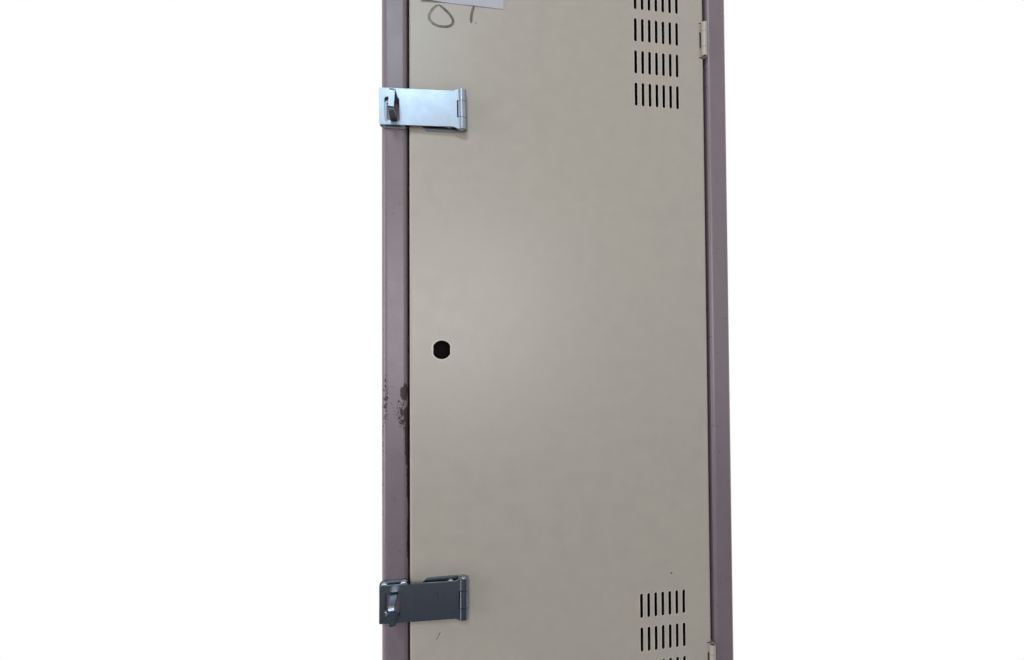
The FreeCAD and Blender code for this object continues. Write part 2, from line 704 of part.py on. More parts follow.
def lock_case():
    """Pressed case inside the door, open at its back; built at height 0."""
    left, right, half, depth = CASE
    t = CASE_T
    y0 = FRAME_T
    outer = soft_box(left, right, y0, y0 + depth, -half, half, 2.0)
    hollow = box(left + t, right - t, y0 + t, y0 + depth + 1, t - half, half - t)
    shell = outer.cut(hollow)
    pillars = [peg(x, z, y0 + 0.5, y0 + depth, 3.8) for x, z in stud_points()]
    guides = [box(left + t - 0.2, right - t + 0.2, BOLT_Y[0] - 1, BOLT_Y[1] + 1, z0, z1)
              for z0, z1 in ((BOLT_HALF + 0.3, BOLT_HALF + 2.3), (-BOLT_HALF - 2.3, -BOLT_HALF - 0.3))]
    body = join([shell] + pillars + guides)
    tools = [double_d(0.0, y0 - 1, y0 + t + 1, 0.6)]
    tools += [peg(x, z, y0 - 1, y0 + depth + 1, STUD_R + 0.1) for x, z in stud_points()]
    tools.append(box(left - 1, left + t + 1, BOLT_Y[0] - 0.3, BOLT_Y[1] + 0.3,
                     -BOLT_HALF - 0.3, BOLT_HALF + 0.3))
    return cut(body, tools)


def lock_cover():
    """Back plate of the case, with the slot for the coin and the way out into the cup."""
    left, right, half, depth = CASE
    y0 = FRAME_T + depth
    plate = slab(rectangle(left, right, -half, half, 3.0), y0, y0 + CASE_T)
    slot = slab(rectangle(72.5, 75.7, 6.0, 35.0, 1.6), y0 - 1, y0 + 4)
    outlet = slab(rectangle(62.0, 88.0, -36.0, -22.0, 2.0), y0 - 1, y0 + 4)
    surround = slab(rectangle(68.5, 79.7, 2.0, 39.0, 4.0), y0 + CASE_T - 0.2, y0 + CASE_T + 1.6)
    holes = [peg(x, z, y0 - 1, y0 + 4, STUD_R + 0.1) for x, z in stud_points()]
    return cut(join([plate, surround]), [slot, outlet] + holes)


def coin_cup():
    """Open cup below the outlet, where the returned coin lands."""
    y0 = FRAME_T + CASE[3] + CASE_T
    t = 1.2
    outer = soft_box(60.0, 90.0, y0, y0 + 17.0, -44.0, -26.0, 1.0)
    outer = outer.common(box(0, 200, 0, 80, -60, -26.5))
    hollow = box(60.0 + t, 90.0 - t, y0 - 1, y0 + 17.0 - t, -44.0 + t, 0)
    return outer.cut(hollow)


def lock_studs():
    """Studs welded inside the door, each with a nut on the cover; built at height 0."""
    solids = []
    y1 = FRAME_T + CASE[3] + CASE_T
    for x, z in stud_points():
        stud = peg(x, z, FRAME_T, y1 + 4.2, STUD_R)
        corners = [(x + 4.04 * math.cos(math.radians(60 * k)),
                    z + 4.04 * math.sin(math.radians(60 * k)), 0) for k in range(6)]
        solids.append(join([stud, slab(corners, y1, y1 + 3.2)]))
    return group(solids)


def lock_bolt():
    """Sliding bolt with a window round the cylinder; built drawn in, at height 0."""
    plate = slab(rectangle(BOLT_TIP_X, 88.0, -BOLT_HALF, BOLT_HALF, 1.0), BOLT_Y[0], BOLT_Y[1])
    window = slab(rectangle(48.5, 81.5, -10.2, 10.2, 2.0), BOLT_Y[0] - 1, BOLT_Y[1] + 1)
    return plate.cut(window)


# ---------------------------------------------------------------- whole column
def raised(shape, z):
    lifted = shape.copy()
    lifted.translate(Vector(0, 0, z))
    return lifted


def save_frame_and_body():
    save("left_upright", left_upright())
    save("right_upright", right_upright())
    save("top_rail", top_rail())
    save("middle_rail", middle_rail())
    save("bottom_rail", bottom_rail())
    save("upright_caps", upright_caps())
    save("left_side_panel", side_panel(-1))
    save("right_side_panel", side_panel(1))
    save("back_panel", back_panel())
    save("top_panel", tray(22.1, HEIGHT, 20.0))
    save("divider_shelf", tray(STOP_Y + FRAME_T + 0.1, LOWER_OPENING + OPENING_H + 13.0, 18.0))
    save("floor_panel", tray(STOP_Y + FRAME_T + 0.1, PLINTH_H, 18.0))
    save("stop_buffers", stop_buffers())
    save("staple_rivets", staple_rivets())
    save("back_panel_rivets", back_rivets())


def save_door(door, centre):
    save("%s_door_panel" % door, door_panel(door))
    save("%s_door_stiffener" % door, door_stiffener(door))
    save("%s_hinge_pins" % door, hinge_pins(door))
    save("%s_coat_hooks" % door, coat_hooks(door))
    save("%s_strike_plate" % door, strike_plate(door))
    for row, dz in zip(("bottom", "top"), HINGE_Z):
        save("%s_%s_hinge_door_leaf" % (door, row), hinge_door_leaf(centre + dz))
        save("%s_%s_hinge_frame_leaf" % (door, row), hinge_frame_leaf(centre + dz))
    save("%s_coin_lock_case" % door, raised(lock_case(), centre))
    save("%s_coin_lock_cover" % door, raised(lock_cover(), centre))
    save("%s_coin_return_cup" % door, raised(coin_cup(), centre))
    save("%s_coin_lock_studs" % door, raised(lock_studs(), centre))
    save("%s_lock_bolt" % door, raised(lock_bolt(), centre))


def save_hasps():
    pins = {"upper": [], "lower": []}
    rivets = {"upper": [], "lower": []}
    for door, row, strap_z, staple_z, tilt in hasp_places():
        save("%s_%s_hasp_base" % (door, row), tilted(hasp_base(), strap_z, tilt))
        save("%s_%s_hasp_strap" % (door, row), tilted(hasp_strap(SLOT_MIDDLES[row]), strap_z, tilt))
        save("%s_%s_staple" % (door, row), raised(staple(*ARCHES[row]), staple_z))
        pins[door].append(tilted(hasp_pin(), strap_z, tilt))
        for x, z in hasp_base_rivets():
            rivets[door].append(tilted(pop_rivet(x, z, -HASP_BASE_T, FRAME_T), strap_z, tilt))
    for door in pins:
        save("%s_hasp_pins" % door, group(pins[door]))
        save("%s_hasp_base_rivets" % door, group(rivets[door]))


os.makedirs("parts", exist_ok=True)
save_frame_and_body()
for door_name, door_centre in DOOR_CENTRES.items():
    save_door(door_name, door_centre)
save_hasps()
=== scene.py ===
import logging
import math
from dataclasses import dataclass, field
from enum import Enum
from typing import Any, Dict, List, Optional, Sequence, Tuple, Union

import bmesh
import bpy
from mathutils import Matrix, Vector


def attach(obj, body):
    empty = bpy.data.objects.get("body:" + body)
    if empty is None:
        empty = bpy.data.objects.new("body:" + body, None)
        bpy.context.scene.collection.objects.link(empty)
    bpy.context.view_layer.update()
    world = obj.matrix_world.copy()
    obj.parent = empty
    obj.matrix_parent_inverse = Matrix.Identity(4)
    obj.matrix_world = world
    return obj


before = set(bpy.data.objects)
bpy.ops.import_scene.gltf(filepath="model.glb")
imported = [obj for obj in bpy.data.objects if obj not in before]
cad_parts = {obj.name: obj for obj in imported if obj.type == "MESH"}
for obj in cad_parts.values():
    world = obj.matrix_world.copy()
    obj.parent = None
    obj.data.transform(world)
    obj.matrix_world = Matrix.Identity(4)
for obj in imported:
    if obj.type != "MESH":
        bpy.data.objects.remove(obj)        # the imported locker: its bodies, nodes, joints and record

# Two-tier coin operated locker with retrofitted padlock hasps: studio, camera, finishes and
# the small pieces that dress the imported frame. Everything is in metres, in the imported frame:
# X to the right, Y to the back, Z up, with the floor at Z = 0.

LOG = logging.getLogger("locker")
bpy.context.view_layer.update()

MM = 0.001
SEAM_X = -0.1889          # left side seam of the locker
DOOR_FACE_Y = -0.21595    # front skin of the doors and the frame
UPPER_HOLE_Z = 1.3775     # middle of the upper lock hole, and of its door
LOWER_HOLE_Z = 0.5005

MIX_FACTOR, MIX_FIRST, MIX_SECOND, MIX_RESULT = 0, 6, 7, 2     # a colour Mix node's sockets
WHITE = (1.0, 1.0, 1.0, 1.0)

Triple = Tuple[float, float, float]
Colour = Tuple[float, float, float, float]
SocketValue = Union[float, int, Sequence[float], "Signal", bpy.types.ID]


def srgb(red: int, green: int, blue: int) -> Colour:
    """Turns a display colour of 0 to 255 into the linear colour that a shader takes."""
    linear = []
    for level in (red / 255.0, green / 255.0, blue / 255.0):
        linear.append(level / 12.92 if level <= 0.04045 else ((level + 0.055) / 1.055) ** 2.4)
    return (linear[0], linear[1], linear[2], 1.0)


def from_seam(millimetres: float) -> float:
    """Turns a distance from the left side seam into an X of the frame."""
    return SEAM_X + millimetres * MM


class Body(Enum):
    """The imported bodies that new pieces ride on."""

    UPPER_DOOR = "upper_door"
    LOWER_DOOR = "lower_door"


class Slot(Enum):
    """The record's material slots."""

    FRAME_PAINT = "frame_paint"
    DOOR_PAINT = "door_paint"
    ZINC_PLATE = "zinc_plate"
    RIVET_ZINC = "rivet_zinc"
    PIN_STEEL = "pin_steel"
    LOCK_CASE = "lock_case"
    LOCK_STEEL = "lock_steel"
    HOOK_STEEL = "hook_steel"
    RUBBER = "rubber"


# ---------------------------------------------------------------- node trees

class Signal:
    """One output socket, on which Python's operators add Math nodes."""

    def __init__(self, owner: "NodeTree", socket: bpy.types.NodeSocket) -> None:
        """Keeps the tree and the socket that the value comes from."""
        self.owner = owner
        self.socket = socket

    def maths(self, operation: str, *values: Union["Signal", float]) -> "Signal":
        """Adds one Math node.

        Args:
            operation: the node's operation.
            values: its inputs, in order.

        Returns:
            The result.
        """
        return self.owner.node("ShaderNodeMath", {"operation": operation}, dict(enumerate(values)))

    def __add__(self, other: Union["Signal", float]) -> "Signal":
        """self + other."""
        return self.maths("ADD", self, other)

    __radd__ = __add__

    def __sub__(self, other: Union["Signal", float]) -> "Signal":
        """self - other."""
        return self.maths("SUBTRACT", self, other)

    def __rsub__(self, other: float) -> "Signal":
        """other - self."""
        return self.maths("SUBTRACT", other, self)

    def __mul__(self, other: Union["Signal", float]) -> "Signal":
        """self * other."""
        return self.maths("MULTIPLY", self, other)

    __rmul__ = __mul__

    def __truediv__(self, other: Union["Signal", float]) -> "Signal":
        """self / other."""
        return self.maths("DIVIDE", self, other)

    def __abs__(self) -> "Signal":
        """The size of self."""
        return self.maths("ABSOLUTE", self)

    def root(self) -> "Signal":
        """The square root of self."""
        return self.maths("SQRT", self)

    def larger(self, other: Union["Signal", float]) -> "Signal":
        """The larger of self and other."""
        return self.maths("MAXIMUM", self, other)

    def nearest(self, pitch: float) -> "Signal":
        """Distance to the nearest whole multiple of a pitch."""
        return self.maths("PINGPONG", self, pitch / 2.0)

    def other(self, name: Union[str, int]) -> "Signal":
        """Another output of the node that this value comes from."""
        return Signal(self.owner, self.socket.node.outputs[name])


class NodeTree:
    """Adds nodes to a material's tree or a geometry tree."""

    def __init__(self, tree: bpy.types.NodeTree) -> None:
        """Keeps the tree."""
        self.tree = tree

    def node(
        self,
        kind: str,
        settings: Optional[Dict[str, Any]] = None,
        values: Optional[Dict[Union[str, int], SocketValue]] = None,
        output: Union[str, int] = 0,
    ) -> Signal:
        """Adds one node.

        Args:
            kind: the node's type.
            settings: its properties, set first.
            values: its inputs by name or index, each a number, a colour or a link.
            output: the output to give back.

        Returns:
            That output, or the first input of a node that has no output.
        """
        node = self.tree.nodes.new(kind)
        for key, setting in (settings or {}).items():
            setattr(node, key, setting)
        for key, value in (values or {}).items():
            self.feed(node.inputs[key], value)
        return Signal(self, node.outputs[output] if len(node.outputs) else node.inputs[0])

    def feed(self, socket: bpy.types.NodeSocket, value: SocketValue) -> None:
        """Links a socket, or sets its own value.

        Args:
            socket: the input to feed.
            value: a link, a number, a vector or a colour.
        """
        if isinstance(value, Signal):
            self.tree.links.new(value.socket, socket)
        else:
            socket.default_value = value


class ShaderTree(NodeTree):
    """A material under construction, with Object coordinates at hand."""

    def __init__(self, name: str) -> None:
        """Starts an empty material of that name."""
        self.material = bpy.data.materials.new(name)
        self.material.use_nodes = True
        self.material.node_tree.nodes.clear()
        super().__init__(self.material.node_tree)
        self.place = self.node("ShaderNodeTexCoord", output="Object")
        split = self.node("ShaderNodeSeparateXYZ", values={0: self.place}, output="X")
        self.x, self.y, self.z = split, split.other("Y"), split.other("Z")

    def noise(
        self,
        scale: float,
        detail: float = 3.0,
        roughness: float = 0.5,
        stretch: Triple = (1.0, 1.0, 1.0),
        shift: Triple = (0.0, 0.0, 0.0),
    ) -> Signal:
        """Adds a noise pattern.

        Args:
            scale: features to the metre.
            detail: octaves.
            roughness: weight of the finer octaves.
            stretch: factors on the three coordinates.
            shift: moves the pattern, so that two of them differ.

        Returns:
            The noise, about 0.5 on average.
        """
        vector = self.node(
            "ShaderNodeMapping", values={"Vector": self.place, "Location": shift, "Scale": stretch}
        )
        return self.node(
            "ShaderNodeTexNoise",
            values={"Vector": vector, "Scale": scale, "Detail": detail, "Roughness": roughness},
            output="Fac",
        )

    def step(
        self, value: Signal, start: float, end: float, low: float = 0.0, high: float = 1.0
    ) -> Signal:
        """Turns a value smoothly from low at start to high at end."""
        return self.node("ShaderNodeMapRange", {"interpolation_type": "SMOOTHSTEP"}, {
            "Value": value,
            "From Min": start,
            "From Max": end,
            "To Min": low,
            "To Max": high,
        })

    def band(self, value: Signal, start: float, end: float, soft: float) -> Signal:
        """1 between start and end, falling to 0 over soft outside them."""
        return self.step(value, start - soft, start) * self.step(value, end + soft, end)

    def mix(self, factor: Union[Signal, float], first: SocketValue, second: SocketValue) -> Signal:
        """Mixes two colours."""
        values = {MIX_FACTOR: factor, MIX_FIRST: first, MIX_SECOND: second}
        return self.node("ShaderNodeMix", {"data_type": "RGBA"}, values, MIX_RESULT)

    def brighten(self, colour: SocketValue, factor: Signal) -> Signal:
        """Multiplies a colour by a value."""
        grey = self.node("ShaderNodeCombineColor", values=dict.fromkeys(range(3), factor))
        settings = {"data_type": "RGBA", "blend_type": "MULTIPLY"}
        values = {MIX_FACTOR: 1.0, MIX_FIRST: colour, MIX_SECOND: grey}
        return self.node("ShaderNodeMix", settings, values, MIX_RESULT)

    def bump(self, height: Signal, distance: float, normal: Optional[Signal] = None) -> Signal:
        """Turns a height of 0 to 1 into a bumped normal, distance metres high."""
        values: Dict[Union[str, int], SocketValue] = {"Height": height, "Distance": distance}
        if normal is not None:
            values["Normal"] = normal
        return self.node("ShaderNodeBump", values=values)

    def surface(self, values: Dict[Union[str, int], SocketValue]) -> bpy.types.Material:
        """Closes the material with one Principled BSDF.

        Args:
            values: the shader's inputs by name.

        Returns:
            The material.
        """
        shader = self.node("ShaderNodeBsdfPrincipled", values=values)
        self.node("ShaderNodeOutputMaterial", values={"Surface": shader})
        return self.material


class GeometryTree(NodeTree):
    """A Geometry Nodes tree with named inputs, grown into plain meshes."""

    def __init__(self, name: str, inputs: Dict[str, str]) -> None:
        """Starts the tree.

        Args:
            name: the tree's name.
            inputs: the socket type of each input, by name.
        """
        super().__init__(bpy.data.node_groups.new(name, "GeometryNodeTree"))
        rim = self.tree.interface
        rim.new_socket("Geometry", in_out="INPUT", socket_type="NodeSocketGeometry")
        self.identifiers: Dict[str, str] = {}
        for label, kind in inputs.items():
            socket = rim.new_socket(label, in_out="INPUT", socket_type=kind)
            self.identifiers[label] = socket.identifier
        rim.new_socket("Geometry", in_out="OUTPUT", socket_type="NodeSocketGeometry")
        self.inlet = self.tree.nodes.new("NodeGroupInput")
        self.outlet = self.tree.nodes.new("NodeGroupOutput")

    def given(self, label: str) -> Signal:
        """One of the tree's named inputs."""
        return Signal(self, self.inlet.outputs[label])

    def close(self, geometry: Signal) -> None:
        """Realizes the instances, sets the material and ends the tree."""
        real = self.node("GeometryNodeRealizeInstances", values={0: geometry})
        dressed = self.node(
            "GeometryNodeSetMaterial", values={"Geometry": real, "Material": self.given("Finish")}
        )
        self.feed(self.outlet.inputs[0], dressed)

    def grow(self, name: str, values: Dict[str, Any]) -> bpy.types.Object:
        """Runs the tree on an empty carrier and keeps the result as a plain mesh.

        Args:
            name: the new piece's name.
            values: the tree's inputs by name.

        Returns:
            The piece, with no modifier left on it.
        """
        carrier = bpy.data.objects.new(name + "_carrier", bpy.data.meshes.new(name + "_carrier"))
        bpy.context.scene.collection.objects.link(carrier)
        modifier = carrier.modifiers.new("Grow", "NODES")
        modifier.node_group = self.tree
        for label, value in values.items():
            modifier[self.identifiers[label]] = value
        evaluated = carrier.evaluated_get(bpy.context.evaluated_depsgraph_get())
        mesh = bpy.data.meshes.new_from_object(evaluated)
        mesh.name = name
        bpy.data.objects.remove(carrier, do_unlink=True)
        return place_mesh(mesh, name)


def place_mesh(mesh: bpy.types.Mesh, name: str) -> bpy.types.Object:
    """Links a mesh to the scene as an object at the origin.

    Args:
        mesh: the mesh, with its place in its points.
        name: the object's name.

    Returns:
        The object.
    """
    piece = bpy.data.objects.new(name, mesh)
    bpy.context.scene.collection.objects.link(piece)
    return piece


def place_shell(
    shell: bmesh.types.BMesh, name: str, finish: bpy.types.Material
) -> bpy.types.Object:
    """Turns a finished shell into a piece of one material, and frees the shell."""
    mesh = bpy.data.meshes.new(name)
    shell.to_mesh(mesh)
    shell.free()
    mesh.materials.append(finish)
    return place_mesh(mesh, name)


def place_sheet(
    name: str, half: float, front: float, back: float, height: float = 0.0
) -> bpy.types.Object:
    """Makes a level rectangle from -half to half in X and from front to back in Y."""
    mesh = bpy.data.meshes.new(name)
    corners = [(x, y, height) for x, y in (
        (-half, front), (half, front), (half, back), (-half, back)
    )]
    mesh.from_pydata(corners, [], [(0, 1, 2, 3)])
    return place_mesh(mesh, name)


def thicken_forward(shell: bmesh.types.BMesh, thickness: float) -> None:
    """Gives a thin sheet that lies before the door its thickness, away from the door.

    Args:
        shell: the sheet, one face thick.
        thickness: how thick it becomes.
    """
    grown = bmesh.ops.extrude_face_region(shell, geom=shell.faces[:])
    fronts = [item for item in grown["geom"] if isinstance(item, bmesh.types.BMVert)]
    bmesh.ops.translate(shell, verts=fronts, vec=(0.0, -thickness, 0.0))
    bmesh.ops.recalc_face_normals(shell, faces=shell.faces[:])


# ---------------------------------------------------------------- finishes

@dataclass(frozen=True)
class ChipPatch:
    """An oval patch of the left upright where the enamel has chipped off, in millimetres.

    X is from the left side seam and Z from the middle of the upper lock hole.
    """

    x: float
    z: float
    half_width: float
    half_height: float
    density: float

    def weight(self, shader: ShaderTree) -> Signal:
        """How strongly the patch chips, falling from its density in the middle to 0."""
        across = (shader.x - from_seam(self.x)) * (1.0 / (self.half_width * MM))
        upward = (shader.z - (UPPER_HOLE_Z + self.z * MM)) * (1.0 / (self.half_height * MM))
        return (1.0 - (across * across + upward * upward)).larger(0.0) * self.density


BIG_CHIPS = (
    ChipPatch(21.6, -42.0, 4.6, 12.5, 0.52),
    ChipPatch(21.2, -66.0, 6.4, 19.0, 0.34),
    ChipPatch(25.2, -86.0, 3.9, 42.0, 0.60),
    ChipPatch(25.4, -131.0, 2.4, 26.0, 0.40),
    ChipPatch(25.6, -189.0, 2.3, 30.0, 0.42),
)
SPECKS = (
    ChipPatch(3.8, -48.0, 4.4, 38.0, 0.28),
    ChipPatch(12.0, -56.0, 11.0, 30.0, 0.15),
    ChipPatch(0.8, -95.0, 1.8, 110.0, 0.24),
    ChipPatch(17.0, -60.0, 6.5, 26.0, 0.23),
)
BIG_CHIP_LIMIT, SPECK_LIMIT = 0.73, 0.76     # the noise level at which the enamel gives way
CHIP_RIM = 0.025                             # and how much above it the enamel is all gone
BEND_BANDS = ((0.1868, 0.1915), (0.1632, 0.1660))     # abs(X) of the uprights' two bends
BEND_SOFT = 0.0008
BEND_WEAR = 0.10
NICK_LIMITS = (0.80, 0.82)

WELD_ROWS_Y = (-0.196, 0.225)                # two rows of spot welds on each side
WELD_PITCH = 0.078
WELD_RADII = (0.0019, 0.0030)                # flat bottom and rim of a weld's dimple

RUST = srgb(50, 33, 30)
DUST = srgb(150, 144, 135)
PINHOLE = srgb(70, 72, 76)
SOIL = srgb(160, 156, 150)


@dataclass(frozen=True)
class Scratch:
    """A short straight scratch of the upper door, measured like a ChipPatch."""

    x: float = 54.7
    z: float = -283.7
    run: Tuple[float, float] = (4.0, 7.4)
    half_widths: Tuple[float, float] = (0.42, 0.18)
    half_lengths: Tuple[float, float] = (4.6, 3.6)

    def cover(self, shader: ShaderTree) -> Signal:
        """Where the scratch is, 0 to 1, soft between its two half widths and lengths."""
        dx = shader.x - from_seam(self.x)
        dz = shader.z - (UPPER_HOLE_Z + self.z * MM)
        angle = math.atan2(self.run[1], self.run[0])
        along = dx * math.cos(angle) + dz * math.sin(angle)
        across = dz * math.cos(angle) - dx * math.sin(angle)
        narrow = shader.step(abs(across), *(width * MM for width in self.half_widths))
        return narrow * shader.step(abs(along), *(length * MM for length in self.half_lengths))


@dataclass(frozen=True)
class Enamel:
    """Satin stoving enamel on sheet steel.

    The colour wanders a little over the sheet, dust dulls what faces up, fine orange peel and
    the sheet's own slow waves are in the normal, and spot-weld marks show on the sides.
    """

    slot: Slot
    colour: Colour
    warm: Colour
    bare: Colour
    roughness: float = 0.36
    specular: float = 0.5
    chipped: bool = False
    marked: bool = False
    suffix: str = "_enamel"
    wave_height: float = 0.00030
    peel_height: float = 0.000010
    chip_depth: float = 0.00012
    weld_depth: float = 0.00022
    dots: Tuple[Triple, ...] = ((304.6, -243.8, 1.2), (94.4, 336.4, 0.8))
    scratch: Scratch = Scratch()

    def chips(self, shader: ShaderTree) -> Signal:
        """Where the enamel is gone, 0 to 1, heaviest beside the upper lock."""
        ragged = shader.noise(270.0, 6.0, 0.62, (1.0, 1.0, 0.8))
        fine = shader.noise(560.0, 3.0, 0.55, (1.0, 1.0, 0.85), (0.3, 0.1, 0.7))
        front = shader.step(shader.y, DOOR_FACE_Y + 0.014, DOOR_FACE_Y + 0.008)
        total: Optional[Signal] = None
        for source, patches, limit in (
            (ragged, BIG_CHIPS, BIG_CHIP_LIMIT),
            (fine, SPECKS, SPECK_LIMIT),
        ):
            weight: Optional[Signal] = None
            for patch in patches:
                part = patch.weight(shader)
                weight = part if weight is None else weight.larger(part)
            mask = shader.step(source + weight, limit, limit + CHIP_RIM)
            total = mask if total is None else total.larger(mask)
        worn = shader.noise(75.0, 4.0, 0.6, (1.0, 1.0, 0.4), (1.7, 0.2, 0.4))
        outer, inner = (shader.band(abs(shader.x), *ends, BEND_SOFT) for ends in BEND_BANDS)
        bends = outer.larger(inner)
        nicks = shader.step(worn + bends * BEND_WEAR, *NICK_LIMITS) * bends
        return total.larger(nicks) * front

    def scuffs(self, shader: ShaderTree) -> Signal:
        """Two small chips and one short scratch on the upper door, 0 to 1."""
        dots: Optional[Signal] = None
        for x, z, radius in self.dots:
            dx = shader.x - from_seam(x)
            dz = shader.z - (UPPER_HOLE_Z + z * MM)
            dot = shader.step((dx * dx + dz * dz).root(), radius * MM, 0.6 * radius * MM)
            dots = dot if dots is None else dots.larger(dot)
        front = shader.step(shader.y, DOOR_FACE_Y + 0.004, DOOR_FACE_Y + 0.002)
        return dots.larger(self.scratch.cover(shader)) * front

    def weld_marks(self, shader: ShaderTree) -> Signal:
        """Height of the shallow spot-weld dimples down both edges of the side sheets, 0 to 1."""
        height: Optional[Signal] = None
        for row_y in WELD_ROWS_Y:
            dy = shader.y - row_y
            dz = shader.z.nearest(WELD_PITCH)
            ring = shader.step((dy * dy + dz * dz).root(), *WELD_RADII)
            height = ring if height is None else height * ring
        normal = shader.node("ShaderNodeNewGeometry", output="Normal")
        facing = shader.node("ShaderNodeSeparateXYZ", values={0: normal}, output="X")
        sides = shader.step(abs(facing), 0.90, 0.97)
        return 1.0 - (1.0 - height) * sides

    def build(self) -> bpy.types.Material:
        """Builds the material."""
        shader = ShaderTree(self.slot.value + self.suffix)
        broad = shader.noise(3.1, 3.0, 0.5)
        fine = shader.noise(60.0, 4.0, 0.6, shift=(0.4, 0.9, 0.2))
        colour = shader.mix(shader.step(broad, 0.40, 0.62), self.colour, self.warm)
        colour = shader.brighten(colour, shader.step(fine, 0.25, 0.75, 0.975, 1.025))
        normal_z = shader.node(
            "ShaderNodeSeparateXYZ",
            values={0: shader.node("ShaderNodeNewGeometry", output="Normal")},
            output="Z",
        )
        dust = shader.step(normal_z, 0.6, 0.95) * shader.step(fine, 0.35, 0.65, 0.25, 0.55)
        colour = shader.mix(dust, colour, DUST)
        rough = shader.step(fine, 0.3, 0.7, self.roughness - 0.03, self.roughness + 0.04)
        rough = rough + dust * 0.3
        relief = shader.noise(6.5, 2.0, 0.4, (1.0, 1.0, 0.7), (0.2, 0.5, 0.3))
        normal = shader.bump(relief, self.wave_height)
        normal = shader.bump(shader.noise(700.0, 1.0, 0.4), self.peel_height, normal)
        if self.chipped or self.marked:
            gone = self.chips(shader) if self.chipped else self.scuffs(shader)
            edge = shader.noise(240.0, 4.0, 0.7, shift=(0.8, 0.3, 0.6))
            bare = shader.mix(edge, self.bare, RUST)
            colour = shader.mix(gone, colour, bare)
            rough = rough + gone * 0.34
            normal = shader.bump(1.0 - gone, self.chip_depth, normal)
        if self.chipped:
            normal = shader.bump(self.weld_marks(shader), self.weld_depth, normal)
        return shader.surface({
            "Base Color": colour,
            "Roughness": rough,
            "Specular IOR Level": self.specular,
            "Normal": normal,
        })


@dataclass(frozen=True)
class PlatedSteel:
    """Bare or plated steel, brushed one way, with a faint mottle and dark pinholes."""

    slot: Slot
    bright: Colour
    dull: Colour
    roughness: float
    mottle_scale: float = 120.0
    brushing: Triple = (1.0, 1.0, 0.06)
    speck_limit: float = 0.70
    speck_depth: float = 0.35
    scratch_height: float = 0.000012
    mottle_height: float = 0.00001
    swing: float = 0.05

    def build(self) -> bpy.types.Material:
        """Builds the material."""
        shader = ShaderTree(self.slot.value + "_metal")
        mottle = shader.noise(self.mottle_scale, 4.0, 0.6)
        brushed = shader.noise(900.0, 2.0, 0.5, self.brushing)
        colour = shader.mix(shader.step(mottle, 0.36, 0.66), self.dull, self.bright)
        pits = shader.noise(640.0, 2.0, 0.5, shift=(0.5, 0.2, 0.9))
        specks = shader.step(pits, self.speck_limit, self.speck_limit + 0.04)
        colour = shader.mix(specks * self.speck_depth, colour, PINHOLE)
        dullest, glossiest = self.roughness + self.swing, self.roughness - self.swing
        rough = shader.step(mottle, 0.30, 0.70, dullest, glossiest)
        rough = rough + shader.step(brushed, 0.3, 0.7, -0.6 * self.swing, 0.8 * self.swing)
        normal = shader.bump(brushed, self.scratch_height)
        normal = shader.bump(mottle, self.mottle_height, normal)
        return shader.surface({
            "Base Color": colour,
            "Metallic": 1.0 - specks * self.speck_depth,
            "Roughness": rough,
            "Normal": normal,
        })


@dataclass(frozen=True)
class CrinkleBlackAndShade:
    """Black crinkle enamel on the coin lock's case, darkened below real black enamel into painted
    shade for the inside of the lock hole.
    """

    slot: Slot = Slot.LOCK_CASE
    # near black: the enamel's own black, darkened further as painted shade seen through the lock hole
    colour: Colour = srgb(6, 6, 9)
    rubbed: Colour = srgb(34, 34, 35)
    roughness: float = 0.58
    specular: float = 0.12
    crinkle_height: float = 0.00010

    def build(self) -> bpy.types.Material:
        """Builds the material."""
        shader = ShaderTree(self.slot.value + "_crinkle")
        crinkle = shader.node(
            "ShaderNodeTexVoronoi",
            {"feature": "SMOOTH_F1"},
            {"Vector": shader.place, "Scale": 900.0},
        )
        rub = shader.step(shader.noise(45.0, 5.0, 0.65), 0.56, 0.66)
        return shader.surface({
            "Base Color": shader.mix(rub * 0.35, self.colour, self.rubbed),
            "Roughness": self.roughness + rub * 0.12,
            "Specular IOR Level": self.specular,
            "Normal": shader.bump(crinkle, self.crinkle_height),
        })


@dataclass(frozen=True)
class BufferRubber:
    """Grey-brown rubber of the door's stop buffers."""

    slot: Slot = Slot.RUBBER
    colour: Colour = srgb(58, 54, 50)
    bloom: Colour = srgb(104, 98, 90)
    grain_height: float = 0.00004

    def build(self) -> bpy.types.Material:
        """Builds the material."""
        shader = ShaderTree(self.slot.value + "_buffer")
        cloud = shader.noise(220.0, 4.0, 0.6)
        colour = shader.mix(shader.step(cloud, 0.42, 0.72) * 0.6, self.colour, self.bloom)
        rough = shader.step(cloud, 0.3, 0.7, 0.72, 0.86)
        normal = shader.bump(shader.noise(1400.0, 2.0, 0.5), self.grain_height)
        return shader.surface({"Base Color": colour, "Roughness": rough, "Normal": normal})


@dataclass(frozen=True)
class CardStock:
    """White office paper, faintly fibrous and a little soiled."""

    name: str = "card_stock"
    colour: Colour = srgb(172, 172, 181)
    specular: float = 0.3
    fibre_height: float = 0.00003

    def build(self) -> bpy.types.Material:
        """Builds the material."""
        shader = ShaderTree(self.name)
        fibre = shader.noise(1300.0, 4.0, 0.7)
        soil = shader.noise(40.0, 4.0, 0.6, shift=(0.6, 0.1, 0.4))
        colour = shader.brighten(self.colour, shader.step(fibre, 0.3, 0.7, 0.985, 1.01))
        colour = shader.mix(shader.step(soil, 0.55, 0.80) * 0.18, colour, SOIL)
        rough = shader.step(fibre, 0.3, 0.7, 0.55, 0.68)
        return shader.surface({
            "Base Color": colour,
            "Roughness": rough,
            "Specular IOR Level": self.specular,
            "Normal": shader.bump(fibre, self.fibre_height),
        })


